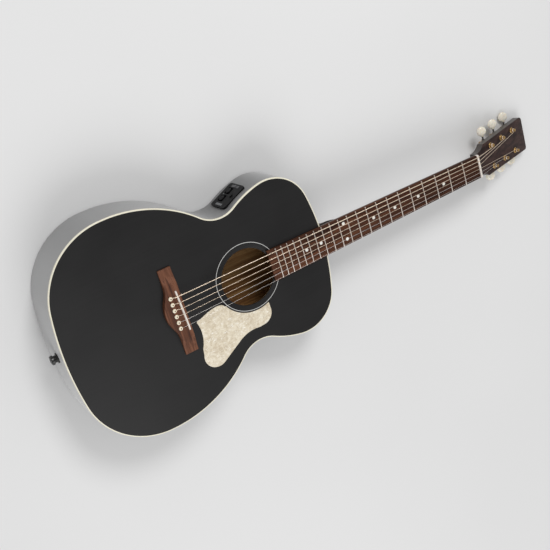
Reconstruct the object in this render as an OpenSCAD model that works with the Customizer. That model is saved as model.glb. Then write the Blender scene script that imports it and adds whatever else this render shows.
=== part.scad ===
// Acoustic guitar, concert size, fourteenth-fret neck join, with a side preamp.
// It lies on its back: +Z is up out of the soundboard, +Y runs from the tail to the
// headstock and +X is the treble side. All lengths are millimetres.

/* [Body] */
// Body depth at the tail, soundboard face to back face
depth_tail = 99.6; // [94:0.2:108]
// Body depth at the neck join
depth_neck = 79.8; // [76:0.2:90]
// Soundboard thickness
top_t = 3.0; // [2.6:0.1:3.4]
// Back thickness
back_t = 3.0; // [2.6:0.1:3.6]
// Side thickness, and the width of the edge binding that sits above it
side_t = 2.0; // [1.8:0.1:2.4]
// Height of the edge binding
bind_h = 3.4; // [3.2:0.1:5]
// Radius of the soundhole
hole_r = 49.0; // [46:0.5:50.5]
// Radius of the middle of the inlaid ring round the soundhole
ring_r = 58.6; // [56:0.2:60]
// Width of the inlaid ring
ring_w = 1.0; // [1.0:0.1:2.0]
// Thickness of the pickguard
guard_t = 1.0; // [0.6:0.1:1.4]

/* [Neck] */
// String length from nut to saddle
scale_len = 630.9; // [628:0.1:634]
// Width at the nut
nut_w = 43.7; // [42.5:0.1:46]
// Width of the fingerboard at its soundhole end
board_end_w = 55.6; // [54:0.2:58]
// Thickness of the fingerboard on its centre line
board_t = 5.9; // [5.2:0.1:6.5]
// Crown radius of fingerboard, nut and saddle
crown_r = 406; // [300:2:520]
// Height of a fret above the fingerboard
fret_h = 1.05; // [0.8:0.05:1.3]
// Neck thickness below the fingerboard at the nut
neck_t0 = 16.0; // [14:0.5:18]
// Neck thickness below the fingerboard at the body
neck_t1 = 19.0; // [17:0.5:21]

/* [Headstock] */
// Angle of the headstock below the neck, degrees
head_a = 18; // [15:0.5:19]
// Length of the headstock face from the nut to the tip
head_len = 171; // [168:0.5:178]
// Half width at the shoulders
head_w0 = 30.9; // [30:0.1:33]
// Half width at the tip
head_w1 = 33.2; // [31.5:0.1:36]
// Total thickness of the headstock
head_t = 15; // [14:0.5:16]
// Distance from the nut to the first pair of posts
post_s = 50.4; // [48:0.2:53]
// Distance between posts
post_pitch = 39.8; // [38:0.1:40]
// Distance of the posts from the centre line
post_x = 20.6; // [19.5:0.1:21.5]
// Height of a post above the headstock face
post_h = 8.4; // [7.5:0.1:11]

/* [Bridge] */
// Half length of the bridge
bridge_hw = 76; // [72:0.5:80]
// Height of the bridge in the middle
bridge_h = 8.4; // [7.5:0.1:9]
// Height of the saddle crown above the soundboard
saddle_z = 12.0; // [11:0.1:13]
// Spacing of the bridge pins
pin_sp = 10.7; // [10.4:0.1:11]

/* [Preamp] */
// Length of the preamp face along the side
pre_w = 52; // [51:0.5:56]
// Height of the preamp face
pre_h = 52; // [51:0.5:56]
// How far the preamp face stands off the side
pre_p = 2.5; // [2.3:0.1:3.5]

/* [Hidden] */
$fn = 64;

// Outline of one half of the body: tangent arcs from the tail to the neck join.
arc_r = [535, 124.7, 216.4, 50.9, 173.9, 68.2];   // tail, lower bout x2, waist, upper bout x2
arc_a = [8.9, 77.9, 46.9, 73.6, 18.6, 88.2];      // how far each arc turns, degrees
arc_s = [1, 1, 1, -1, 1, 1];                      // the waist turns the other way
arc_n = [2, 16, 8, 16, 4, 18];                    // flats drawn for each arc
tail_d = 835.2;                                   // nut to tail edge
body_d = 347.7;                                   // nut to the end of the body at the neck
pin_out = 12.2;                                   // endpin jack beyond the tail
top_z = depth_tail;
tilt = atan((depth_tail - depth_neck) / (tail_d - body_d));
seat = 4.8;                                       // nut thickness
face_z = top_z - 0.2;                             // headstock face at the nut
nut_y = (tail_d + pin_out - seat - head_len * cos(head_a)) / 2;
neck_tip_y = nut_y + seat;

// y of a point d mm from the nut toward the tail
function Y(d) = nut_y - d;
// distance from the nut to fret n
function fret_d(n) = scale_len * (1 - pow(2, -n / 12));
// points of one circular arc
function arc_pts(cx, cy, r, a0, a1, n) =
    [for (i = [0:n]) [cx + r * cos(a0 + (a1 - a0) * i / n), cy + r * sin(a0 + (a1 - a0) * i / n)]];
// start of every body arc as [x, y, heading], inset by o
function walk(k, x, y, h, o) =
    k == 6 ? [[x, y, h]] :
    let (s = arc_s[k], r = arc_r[k] - s * o, g = h + s * arc_a[k])
    concat([[x, y, h]], walk(k + 1, x + s * r * (sin(g) - sin(h)), y - s * r * (cos(g) - cos(h)), g, o));
// right half of the outline from the tail to the neck, inset by o
function half(o) =
    let (w = walk(0, 0, Y(tail_d) + o, 0, o), e = w[6], re = e[0] / sin(e[2]), n = 4)
    concat(
        [for (k = [0:5]) let (s = arc_s[k], r = arc_r[k] - s * o) for (i = [0:arc_n[k] - 1])
            let (g = w[k][2] + s * arc_a[k] * i / arc_n[k])
            [w[k][0] + s * r * (sin(g) - sin(w[k][2])), w[k][1] - s * r * (cos(g) - cos(w[k][2]))]],
        [for (i = [0:n]) let (g = e[2] + (180 - e[2]) * i / n)
            [e[0] + re * (sin(g) - sin(e[2])), e[1] - re * (cos(g) - cos(e[2]))]]);
function rev(p) = [for (i = [len(p) - 1:-1:0]) p[i]];
function flip(p) = [for (q = p) [-q[0], q[1]]];
// whole outline, inset by o
function outline(o) = let (h = half(o), n = len(h)) concat(h, [for (i = [n - 2:-1:1]) [-h[i][0], h[i][1]]]);
// a strip that follows one half of the outline between two insets
function strip(o0, o1) = concat(half(o0), rev(half(o1)));

module prism(p, z0, z1) {
    translate([0, 0, z0])
    linear_extrude(z1 - z0)
    polygon(p);
}
// a slab that follows the back, between two heights above its outer face
module back_slab(a, b) {
    translate([0, Y(tail_d), 0])
    rotate([tilt, 0, 0])
    translate([-260, -40, a])
    cube([520, 620, b - a]);
}
// tapers the fingerboard plan, inset by o on each side
function board_w(d) = nut_w + (board_end_w - nut_w) * d / board_end;
board_end = 459;
function board_plan(o) = [[-board_w(0) / 2 + o, Y(0)], [-board_w(board_end) / 2 + o, Y(board_end)],
    [board_w(board_end) / 2 - o, Y(board_end)], [board_w(0) / 2 - o, Y(0)]];
module crown(z, r) {
    translate([0, Y(-20), z - r])
    rotate([90, 0, 0])
    cylinder(r = r, h = 520, $fn = 360);
}
module hole_c(r, z0, z1) {
    translate([0, Y(hole_d), z0])
    cylinder(r = r, h = z1 - z0, $fn = 120);
}
hole_d = 503;
pin_d = 644.8;
saddle_d = 631.5;
saddle_a = 2.08;
pin_x = [for (k = [0:5]) (2.5 - k) * pin_sp];          // string 1 is the treble E
nut_x = [for (k = [0:5]) (2.5 - k) * 7.2];
sad_x = [for (k = [0:5]) (2.5 - k) * 10.6];
str_r = [0.165, 0.216, 0.33, 0.445, 0.57, 0.71];
graft = 9;                                             // half width of the block tongues at both ends

module soundboard() {
    color("#1d1c1c")
    difference() {
        prism(outline(side_t), top_z - top_t, top_z);
        hole_c(hole_r, top_z - 10, top_z + 5);
        difference() {
            hole_c(ring_r + ring_w / 2, top_z - 1.2, top_z + 1);
            hole_c(ring_r - ring_w / 2, top_z - 2, top_z + 2);
        }
        pin_holes(top_z - 10, top_z + 5);
    }
}
module pin_holes(z0, z1) {
    for (x = pin_x)
        translate([x, Y(pin_d), z0])
        cylinder(r = 2.6, h = z1 - z0);
}
module back_plate() {
    color("#232122")
    intersection() {
        prism(outline(0), -20, 80);
        back_slab(0, back_t);
    }
}
module half_side(m) {
    mirror([m, 0, 0])
    difference() {
        prism(strip(0, side_t), -10, top_z - bind_h);
        translate([graft - 60, -700, -50])
        cube([60, 1400, 200]);
    }
}
module bass_side() {
    color("#2b2a2c")
    difference() {
        half_side(1);
        back_slab(-60, back_t);
        pre_frame()
        translate([-24.6, -20, -23.6])
        cube([49.2, 40, 47.2]);
    }
}
module treble_side() {
    color("#2b2a2c")
    difference() {
        half_side(0);
        back_slab(-60, back_t);
    }
}
// tongue of an end block that fills the gap between the two sides
module tongue(d0, d1) {
    intersection() {
        prism(outline(0), -10, top_z - bind_h);
        translate([-graft, Y(d0), -10])
        cube([2 * graft, d0 - d1, 130]);
    }
}
jack_z = top_z - 40;
rod_z = top_z - 10;
bolt_z = [top_z - 30, top_z - 56];
// a round bar along the centre line between two distances from the nut
module along(r, z, d0, d1) {
    translate([0, Y(d0), z])
    rotate([-90, 0, 0])
    cylinder(r = r, h = d0 - d1);
}
module endpin_bore(r, d0, d1) {
    along(r, jack_z, d0, d1);
}
module top_binding() {
    color("#efe4c8")
    union() {
        prism(strip(0, side_t), top_z - bind_h, top_z);
        mirror([1, 0, 0])
        prism(strip(0, side_t), top_z - bind_h, top_z);
    }
}
module rosette() {
    color("#d8d6d0")
    difference() {
        hole_c(ring_r + ring_w / 2, top_z - 1.2, top_z);
        hole_c(ring_r - ring_w / 2, top_z - 2, top_z + 2);
    }
}
blk_w = 38;
module blocks_space() {
    translate([-blk_w, Y(body_d + 48), -5])
    cube([2 * blk_w, 60, 120]);
    translate([-blk_w, Y(tail_d + 5), -5])
    cube([2 * blk_w, 27, 120]);
}
module linings() {
    color("#b98f5c")
    difference() {
        union() {
            for (m = [0, 1])
                mirror([m, 0, 0])
                prism(strip(side_t, side_t + 5.5), top_z - top_t - 13, top_z - top_t);
            intersection() {
                for (m = [0, 1])
                    mirror([m, 0, 0])
                    prism(strip(side_t, side_t + 5.5), -10, 60);
                back_slab(back_t, back_t + 12);
            }
        }
        blocks_space();
    }
}
module neck_block() {
    color("#8a5a38")
    difference() {
        union() {
            intersection() {
                prism(outline(side_t), 0, top_z - top_t);
                translate([-blk_w, Y(body_d + 48), -5])
                cube([2 * blk_w, 60, 120]);
            }
            tongue(body_d + 10, body_d - 5);
        }
        back_slab(-60, back_t);
        along(3.2, rod_z, body_d + 60, body_d - 10);
        along(6.2, rod_z, body_d + 60, body_d + 24);
        for (z = bolt_z)
            along(3.2, z, body_d + 60, body_d - 10);
    }
}
module tail_block() {
    color("#8a5a38")
    difference() {
        union() {
            intersection() {
                prism(outline(side_t), 0, top_z - top_t);
                translate([-blk_w, Y(tail_d + 5), -5])
                cube([2 * blk_w, 27, 120]);
            }
            tongue(tail_d + 5, tail_d - 10);
        }
        back_slab(-60, back_t);
        endpin_bore(6.1, tail_d + 20, tail_d - 60);
    }
}
cross_d = 566;                                         // where the two long braces cross
module bar(x0, d0, x1, d1, w, h) {
    a = atan2(Y(d1) - Y(d0), x1 - x0);
    l = norm([x1 - x0, d1 - d0]);
    translate([x0, Y(d0), top_z - top_t - h])
    rotate([0, 0, a])
    translate([0, -w / 2, 0])
    cube([l, w, h]);
}
module top_braces() {
    color("#c9a46a")
    difference() {
        intersection() {
            union() {
                bar(-118, 462, 160, 712, 7.5, 15);
                bar(118, 462, -160, 712, 7.5, 15);
                bar(-130, 428, 130, 428, 12, 14);
                bar(-22, 690, 95, 760, 6.5, 11);
                bar(-68, 686, 12, 792, 6.5, 11);
                bar(-62, 534, -62, 470, 6, 5);
                bar(62, 534, 62, 470, 6, 5);
            }
            prism(outline(side_t + 5.6), 0, top_z);
        }
        hole_c(hole_r + 3, 0, top_z);
        pre_frame()
        translate([-27, -42, -26])
        cube([54, 50, 52]);
    }
}
module bridge_plate() {
    color("#7a5230")
    difference() {
        translate([-58, Y(668), top_z - top_t - 2.5])
        cube([116, 38, 2.5]);
        pin_holes(top_z - 20, top_z + 5);
    }
}
module back_braces() {
    color("#c9a46a")
    intersection() {
        for (d = [426, 545, 650, 750])
            translate([-200, Y(d) - 4.5, 0])
            cube([400, 9, 60]);
        prism(outline(side_t + 5.6), -10, 80);
        back_slab(back_t, back_t + 14);
    }
}
// Pickguard: hollow edge round the rosette, a point by the treble strings, a lobe each way.
module pickguard() {
    color("#e6dcc6")
    prism(concat(
        [for (q = arc_pts(0, -hole_d, 61.4, 20.9, -60.3, 18)) [q[0], Y(-q[1])]],
        [[26.4, Y(560.6)], [23.8, Y(566)], [23.0, Y(572)], [23.3, Y(578)], [24.9, Y(588)],
            [27.6, Y(597)], [30.4, Y(605)], [31.6, Y(612.8)]],
        [for (q = arc_pts(52.5, -671, 60.4, 105, 62, 10)) [q[0], Y(-q[1])]],
        [for (q = arc_pts(100.8, -599.2, 21.9, -112, 32, 16)) [q[0], Y(-q[1])]],
        [for (q = arc_pts(147, -522, 56.5, 211, 168, 9)) [q[0], Y(-q[1])]],
        [for (q = arc_pts(70.2, -501.6, 21, 0, 98, 10)) [q[0], Y(-q[1])]],
        [[60.4, Y(481.1)]]),
        top_z, top_z + guard_t);
}
bridge_f = 625.6;                                      // nut to the front edge of the bridge
bridge_r = 648.8;                                      // nut to the rear edge at the wings
bridge_b = 661.6;                                      // nut to the rear edge of the belly
function belly() = [for (i = [0:24]) let (x = -50 + i * 100 / 24, u = 1 - abs(x) / 50)
    [x, Y(bridge_r + (bridge_b - bridge_r) * (u < 0.5 ? 2 * u * u : 1 - 2 * (1 - u) * (1 - u)))]];
module bridge() {
    color("#5a2f22")
    difference() {
        intersection() {
            prism(concat([[-bridge_hw, Y(bridge_f)]], [[-bridge_hw, Y(bridge_r)]], belly(),
                [[bridge_hw, Y(bridge_r)], [bridge_hw, Y(bridge_f)]]), top_z, top_z + bridge_h);
            translate([0, Y(bridge_f) + 5, 0])
            rotate([90, 0, 0])
            linear_extrude(50)
            polygon([[-bridge_hw - 1, top_z], [-bridge_hw - 1, top_z + 3.4], [-66, top_z + 4.2],
                [-54, top_z + 6.6], [-45, top_z + bridge_h], [45, top_z + bridge_h],
                [54, top_z + 6.6], [66, top_z + 4.2], [bridge_hw + 1, top_z + 3.4],
                [bridge_hw + 1, top_z]]);
        }
        saddle_frame()
        translate([-36.1, -1.6, bridge_h - 5.5])
        cube([72.2, 3.2, 12]);
        pin_holes(top_z - 1, top_z + 20);
        for (k = [0:5])
            translate([pin_x[k], Y(pin_d) + 3.3, top_z + 2])
            cylinder(r = str_r[k] + 0.25, h = 20, $fn = 24);
    }
}
module saddle_frame() {
    translate([0, Y(saddle_d), top_z])
    rotate([0, 0, saddle_a])
    children();
}
module saddle() {
    color("#f3efe2")
    intersection() {
        saddle_frame()
        translate([-36, -1.5, bridge_h - 5.5])
        cube([72, 3, 12]);
        translate([0, Y(saddle_d) + 20, top_z + saddle_z - crown_r])
        rotate([90, 0, 0])
        cylinder(r = crown_r, h = 40, $fn = 360);
    }
}
module bridge_pins() {
    color("#efe6cc")
    for (k = [0:5])
        translate([pin_x[k], Y(pin_d), top_z])
        difference() {
            union() {
                translate([0, 0, -14])
                cylinder(r1 = 2.1, r2 = 2.5, h = 14 + bridge_h);
                translate([0, 0, bridge_h])
                cylinder(r = 3.6, h = 1.4);
                intersection() {
                    translate([0, 0, bridge_h + 1.4 - 1.2])
                    sphere(r = 3.8, $fn = 40);
                    translate([0, 0, bridge_h + 1.4])
                    cylinder(r = 3.6, h = 4);
                }
            }
            translate([0, 3.3, -20])
            cylinder(r = str_r[k] + 0.25, h = 40, $fn = 24);
        }
}
function half_oval(w, t) = [for (i = [0:20]) [w / 2 * cos(180 + 9 * i), t * sin(180 + 9 * i)]];
// plan section of the heel: straight at the body, rounded at the front
function heel_oval(w, l) = concat([[w / 2, -6], [w / 2, l * 0.25]],
    [for (i = [1:11]) [w / 2 * cos(15 * i), l * 0.25 + l * 0.75 * sin(15 * i)]],
    [[-w / 2, l * 0.25], [-w / 2, -6]]);
module heel_slice(z, w, l) {
    translate([0, Y(body_d), z])
    linear_extrude(0.02)
    polygon(heel_oval(w, l));
}
module neck_slice(d, w, t) {
    translate([0, Y(d), top_z])
    rotate([90, 0, 0])
    linear_extrude(0.02)
    polygon(half_oval(w, t));
}
heel_z = top_z - depth_neck + 1.5;
function head_plan() = concat(
    [[nut_w / 2, 0]],
    arc_pts(nut_w / 2 + 34.5, 6.5, 34.5, 180, 137, 6),
    [[head_w0, 31.5]],
    arc_pts(head_w1 - 6, head_len - 6, 6, 0, 90, 6),
    arc_pts(-head_w1 + 6, head_len - 6, 6, 90, 180, 6),
    [[-head_w0, 31.5]],
    rev(flip(arc_pts(nut_w / 2 + 34.5, 6.5, 34.5, 180, 137, 6))),
    [[-nut_w / 2, 0]]);
module head_frame() {
    translate([0, neck_tip_y, face_z])
    rotate([-head_a, 0, 0])
    children();
}
module neck() {
    color("#2a1d17")
    difference() {
        union() {
            hull() {
                neck_slice(-seat, nut_w, neck_t0);
                neck_slice(body_d + 6, board_w(body_d + 6), neck_t1);
            }
            hull() {
                heel_slice(top_z - 15, 50, 56);
                heel_slice(top_z - 21, 47, 43);
            }
            hull() {
                heel_slice(top_z - 21, 47, 43);
                heel_slice(top_z - 31, 42, 33);
            }
            hull() {
                heel_slice(top_z - 31, 42, 33);
                heel_slice(top_z - 48, 35, 26);
            }
            hull() {
                heel_slice(top_z - 48, 35, 26);
                heel_slice(heel_z, 28, 21);
            }
            head_frame()
            translate([0, 0, -head_t])
            linear_extrude(head_t - 2)
            polygon(head_plan());
        }
        prism(outline(0), -10, top_z + 20);
        along(3.1, rod_z, body_d + 60, 6);
        for (z = bolt_z)
            along(3.0, z, body_d + 60, body_d - 17);
        head_frame()
        posts_at()
        translate([0, 0, -head_t - 5])
        cylinder(r = 3.4, h = head_t + 10);
        head_frame()
        posts_at()
        translate([0, 0, -7])
        cylinder(r = 4.4, h = 20);
        head_frame()
        screws_at()
        translate([0, 0, -head_t - 1])
        cylinder(r = 1.2, h = 9);
        translate([-40, neck_tip_y - 60, top_z])
        cube([80, 60, 30]);
    }
}
module posts_at() {
    for (m = [-1, 1], k = [0:2])
        translate([m * post_x, post_s + k * post_pitch, 0])
        children();
}
module headstock_veneer() {
    color("#2c1a14")
    difference() {
        head_frame()
        translate([0, 0, -2])
        linear_extrude(2)
        polygon(head_plan());
        head_frame()
        posts_at()
        translate([0, 0, -7])
        cylinder(r = 4.4, h = 20);
        translate([-40, neck_tip_y - 60, top_z - 30])
        cube([80, 60, 60]);
    }
}
module fret_bars(w) {
    for (n = [1:21])
        translate([-40, Y(fret_d(n)) - w / 2, top_z])
        cube([80, w, 20]);
}
dots = [[3, 0], [5, 0], [7, 0], [9, 0], [12, -14.5], [12, 14.5], [15, 0], [17, 0]];
module dot_discs() {
    for (q = dots)
        translate([q[1], Y((fret_d(q[0]) + fret_d(q[0] - 1)) / 2), top_z + board_t - 2.4])
        cylinder(r = 3.0, h = 10, $fn = 48);
}
module fretboard() {
    color("#54291c")
    difference() {
        intersection() {
            prism(board_plan(0), top_z, top_z + board_t);
            crown(top_z + board_t, crown_r);
        }
        translate([0, 0, board_t - 2.8])
        fret_bars(0.6);
        dot_discs();
    }
}
module frets() {
    color("#c9ccce")
    union() {
        difference() {
            intersection() {
                fret_bars(2.2);
                prism(board_plan(0.2), top_z, top_z + 20);
                crown(top_z + board_t + fret_h, crown_r + fret_h);
            }
            crown(top_z + board_t, crown_r);
        }
        intersection() {
            translate([0, 0, board_t - 2.8])
            fret_bars(0.6);
            prism(board_plan(0.2), top_z, top_z + 20);
            crown(top_z + board_t + 0.3, crown_r + 0.3);
        }
    }
}
module inlays() {
    color("#eceae2")
    intersection() {
        dot_discs();
        crown(top_z + board_t, crown_r);
    }
}
nut_z = board_t + fret_h + 0.45;                       // underside of a string at the nut
function drop(x) = crown_r - sqrt(crown_r * crown_r - x * x);
function slot_r(k) = str_r[k] * 1.15 + 0.03;           // half width of a string slot
module nut() {
    color("#f1ede0")
    difference() {
        intersection() {
            translate([-nut_w / 2, Y(0), top_z])
            cube([nut_w, seat, 14]);
            translate([0, Y(-20), top_z + nut_z + 0.7 - crown_r])
            rotate([90, 0, 0])
            cylinder(r = crown_r, h = 30, $fn = 360);
        }
        for (k = [0:5])
            translate([nut_x[k], Y(1), top_z + nut_z - drop(nut_x[k]) + str_r[k]])
            rotate([-90, 0, 0])
            cylinder(r = slot_r(k), h = 8, $fn = 24);
        for (k = [0:5])
            translate([nut_x[k] - slot_r(k), Y(1), top_z + nut_z - drop(nut_x[k]) + str_r[k]])
            cube([2 * slot_r(k), 8, 4]);
    }
}
module truss_rod() {
    color("#7d7f82")
    union() {
        along(3.0, rod_z, body_d + 34, 8);
        translate([0, Y(body_d + 40), rod_z])
        rotate([-90, 0, 0])
        difference() {
            cylinder(r = 5.2, h = 12, $fn = 6);
            translate([0, 0, -1])
            cylinder(r = 2.6, h = 6, $fn = 6);
        }
    }
}
module neck_bolts() {
    color("#8d8f92")
    for (z = bolt_z)
        translate([0, Y(body_d + 48), z])
        rotate([-90, 0, 0])
        union() {
            cylinder(r = 3.0, h = 64);
            difference() {
                translate([0, 0, -5])
                cylinder(r = 6, h = 5);
                translate([0, 0, -6])
                cylinder(r = 2.6, h = 4, $fn = 6);
            }
        }
}
worm_s = 11;                                           // worm axis beyond the post, toward the tip
worm_z = -head_t - 5.8;                                // worm axis behind the headstock face
module tuner_plates() {
    color("#b8923f")
    head_frame()
    for (m = [-1, 1])
        difference() {
            union() {
                translate([m * post_x - 7, post_s - 9, -head_t - 1.2])
                cube([14, 2 * post_pitch + 29, 1.2]);
                for (k = [0:2], e = [-1, 1])
                    translate([m * post_x + e * 6.3 - 0.7, post_s + k * post_pitch + worm_s - 2.8,
                        worm_z - 2.8])
                    cube([1.4, 5.6, 7.6]);
            }
            for (k = [0:2])
                translate([m * post_x, post_s + k * post_pitch, -head_t - 2])
                cylinder(r = 3.15, h = 4);
            for (k = [0:2])
                translate([m * post_x - 10, post_s + k * post_pitch + worm_s, worm_z])
                rotate([0, 90, 0])
                cylinder(r = 1.66, h = 20, $fn = 40);
            for (k = [0:2])
                translate([m * post_x - 4.2, post_s + k * post_pitch + worm_s - 3.6,
                    -head_t - 1.6])
                cube([8.4, 7.2, 2]);
            screws_at()
            translate([0, 0, -head_t - 5])
            cylinder(r = 1.25, h = 10);
        }
}
module screws_at() {
    for (m = [-1, 1], s = [-6.2, 20, 60, 96])
        translate([m * (post_x + (s < 0 || s == 96 ? 0 : 4.8)), post_s + s, 0])
        children();
}
module tuner_screws() {
    color("#b8923f")
    head_frame()
    screws_at()
    union() {
        translate([0, 0, -head_t - 1.2])
        cylinder(r = 1.2, h = 9);
        difference() {
            translate([0, 0, -head_t - 2.4])
            cylinder(r = 2.1, h = 1.2);
            translate([-0.3, -3, -head_t - 3])
            cube([0.6, 6, 1.1]);
        }
    }
}
module tuner_bushings() {
    color("#c09a48")
    head_frame()
    posts_at()
    difference() {
        union() {
            translate([0, 0, -7])
            cylinder(r = 4.4, h = 7);
            cylinder(r = 5.6, h = 0.9);
            cylinder(r = 4.6, h = 1.7);
        }
        translate([0, 0, -8])
        cylinder(r = 3.06, h = 12);
    }
}
// string number -> side of the headstock and place along it
function t_side(n) = n <= 3 ? 1 : -1;
function t_place(n) = n <= 3 ? n - 1 : 6 - n;
module tuner_frame(n) {
    head_frame()
    translate([t_side(n) * post_x, post_s + t_place(n) * post_pitch, 0])
    children();
}
module tuner_post(n) {
    color("#c09a48")
    tuner_frame(n)
    difference() {
        union() {
            translate([0, 0, worm_z - 3.6])
            cylinder(r = 3.0, h = post_h - worm_z + 3.6);
            translate([0, 0, worm_z - 2])
            difference() {
                cylinder(r = 8.2, h = 4);
                for (i = [0:14])
                    rotate([0, 0, 24 * i])
                    translate([8.3, 0, -1])
                    cylinder(r = 0.75, h = 6, $fn = 16);
            }
        }
        translate([0, 0, post_h - 3])
        difference() {
            cylinder(r = 4, h = 2.2);
            translate([0, 0, -1])
            cylinder(r = 2.4, h = 5);
        }
        translate([0, 5, 4.6])
        rotate([90, 0, 0])
        cylinder(r = 0.9, h = 10, $fn = 24);
        translate([-5, -0.4, worm_z - 4])
        cube([10, 0.8, 1.1]);
    }
}
module worm_frame(n) {
    tuner_frame(n)
    translate([0, worm_s, worm_z])
    rotate([0, t_side(n) * 90, 0])
    children();
}
module tuner_worm(n) {
    color("#4c4844")
    worm_frame(n)
    union() {
        translate([0, 0, -8.4])
        cylinder(r = 1.6, h = 8.4 + 38.6 - post_x, $fn = 48);
        translate([0, 0, -5.4])
        cylinder(r = 2.1, h = 10.8, $fn = 48);
        for (i = [-2:2])
            translate([0, 0, i * 2.0 - 0.5])
            cylinder(r = 2.7, h = 1.0, $fn = 48);
        translate([0, 0, 7.2])
        cylinder(r = 2.4, h = 1.6, $fn = 48);
        translate([0, 0, -9.4])
        cylinder(r = 2.4, h = 1.8, $fn = 48);
    }
}
key_turn = 30;                                          // rest angle of the buttons about their shafts
btn_c = 44.8;                                          // button middle from the centre line
module tuner_button(n) {
    color("#efe3c2")
    worm_frame(n)
    difference() {
        union() {
            translate([0, 0, 35 - post_x])
            cylinder(r = 2.9, h = 4, $fn = 48);
            translate([0, 0, btn_c - post_x])
            rotate([0, 0, t_side(n) * key_turn])
            rotate([0, 90, 0])
            intersection() {
                translate([0, 0, -4.2])
                cylinder(r = 9.6, h = 8.4);
                translate([0, 0, 16])
                sphere(r = 20);
                translate([0, 0, -16])
                sphere(r = 20);
            }
        }
        translate([0, 0, 30 - post_x])
        cylinder(r = 1.6, h = 8.6, $fn = 48);
    }
}
module endpin_jack() {
    color("#141414")
    translate([0, Y(tail_d), jack_z])
    rotate([-90, 0, 0])
    difference() {
        union() {
            cylinder(r = 6, h = 38);
            translate([0, 0, 38])
            cylinder(r = 5, h = 14);
            translate([0, 0, -2.2])
            cylinder(r = 8.6, h = 2.2);
            translate([0, 0, -7.4])
            cylinder(r1 = 6.2, r2 = 5.8, h = 5.2);
            translate([0, 0, -10.6])
            cylinder(r = 8.0, h = 3.2);
            translate([0, 0, -pin_out])
            cylinder(r1 = 6.6, r2 = 8.0, h = pin_out - 10.6);
        }
        translate([0, 0, -pin_out - 1])
        cylinder(r = 3.22, h = 34 + pin_out + 1);
    }
}
module endpin_nut() {
    color("#9a9c9f")
    translate([0, Y(tail_d - 22), jack_z])
    rotate([-90, 0, 0])
    difference() {
        union() {
            cylinder(r = 11, h = 1.2);
            translate([0, 0, 1.2])
            cylinder(r = 9.5, h = 4, $fn = 6);
        }
        translate([0, 0, -1])
        cylinder(r = 6.0, h = 8);
    }
}
// Preamp on the bass side of the upper bout: x along the side, y outward, z up
pre_c = [-128.2, 476.0, -43.5];
pre_a = 113.6;
module pre_frame() {
    translate([pre_c[0], Y(pre_c[1]), top_z + pre_c[2]])
    rotate([0, 0, pre_a])
    children();
}
function round_rect(w, h, r) = concat(
    arc_pts(w / 2 - r, h / 2 - r, r, 0, 90, 8), arc_pts(-w / 2 + r, h / 2 - r, r, 90, 180, 8),
    arc_pts(-w / 2 + r, -h / 2 + r, r, 180, 270, 8), arc_pts(w / 2 - r, -h / 2 + r, r, 270, 360, 8));
// a plate across the panel, from y0 to y1
module plate(x, z, w, h, r, y0, y1) {
    translate([x, y1, z])
    rotate([90, 0, 0])
    linear_extrude(y1 - y0)
    polygon(round_rect(w, h, r));
}
module stud(x, z, r, y0, y1) {
    translate([x, y0, z])
    rotate([-90, 0, 0])
    cylinder(r = r, h = y1 - y0, $fn = 48);
}
knob_x = [-7.5, 9.5];
knob_z = -8;
btn_x = 1.0;
btn_z = 12;
tray_x = 20.6;
module preamp_bezel() {
    color("#17171a")
    difference() {
        union() {
            difference() {
                pre_frame()
                plate(0, 0, pre_w, pre_h, 6, -6, pre_p);
                prism(outline(0), 0, top_z + 10);
            }
            pre_frame()
            plate(0, 0, 49, 47, 5, -5, 0.4);
        }
        pre_frame()
        bezel_cuts();
    }
}
module bezel_cuts() {
    for (x = knob_x)
        plate(x, knob_z, 14, 17, 1.5, -1.5, 20);
    for (x = knob_x)
        stud(x, knob_z, 1.56, -20, 20);
    stud(btn_x, btn_z, 3.56, -20, 20);
    plate(tray_x, 0, 5.0, 25.0, 0.6, -20, 20);
    plate(-20.4, 0, 4.2, 22, 1, pre_p - 1, 20);
    stud(1.0, -14.5, 1.5, pre_p - 2, 20);
}
module preamp_housing() {
    color("#1b1b1e")
    pre_frame()
    difference() {
        plate(0, 0, 49, 47, 2, -36, -5);
        for (x = knob_x)
            stud(x, knob_z, 3.2, -14, 1);
        for (x = knob_x)
            stud(x, knob_z, 1.56, -20, 1);
        stud(btn_x, btn_z, 4.8, -14, 1);
        plate(tray_x, 0, 5.0, 25.0, 0.6, -34, 1);
    }
}
module preamp_display() {
    color("#8d9296")
    pre_frame()
    union() {
        plate(-20.4, 0, 4.2, 22, 1, pre_p - 1, pre_p + 0.3);
        stud(1.0, -14.5, 1.5, pre_p - 2, pre_p + 0.5);
    }
}
module knob(x) {
    color("#101012")
    pre_frame()
    difference() {
        union() {
            stud(x, knob_z, 1.5, -19, -1.4);
            stud(x, knob_z, 2.8, -13.5, -11.5);
            stud(x, knob_z, 5.6, -1.4, pre_p + 1.2);
        }
        for (i = [0:11])
            translate([x, 0, knob_z])
            rotate([0, 30 * i, 0])
            translate([5.9, -0.4, 0])
            rotate([-90, 0, 0])
            cylinder(r = 0.7, h = 10, $fn = 16);
        translate([x - 0.35, pre_p + 0.7, knob_z])
        cube([0.7, 2, 6]);
    }
}
module volume_knob() {
    knob(knob_x[0]);
}
module tone_knob() {
    knob(knob_x[1]);
}
module push_button() {
    color("#26262a")
    pre_frame()
    union() {
        stud(btn_x, btn_z, 3.5, -8, pre_p + 1.6);
        stud(btn_x, btn_z, 4.6, -8, -6);
    }
}
module battery_tray() {
    color("#2f2f33")
    pre_frame()
    difference() {
        union() {
            plate(tray_x, 0, 4.9, 24.9, 0.5, -33, pre_p + 0.2);
            plate(tray_x, 0, 5.2, 6, 0.8, pre_p + 0.2, pre_p + 1.4);
        }
        translate([tray_x - 1.2, -16, 0])
        rotate([0, 90, 0])
        cylinder(r = 10.1, h = 6, $fn = 60);
    }
}
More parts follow.
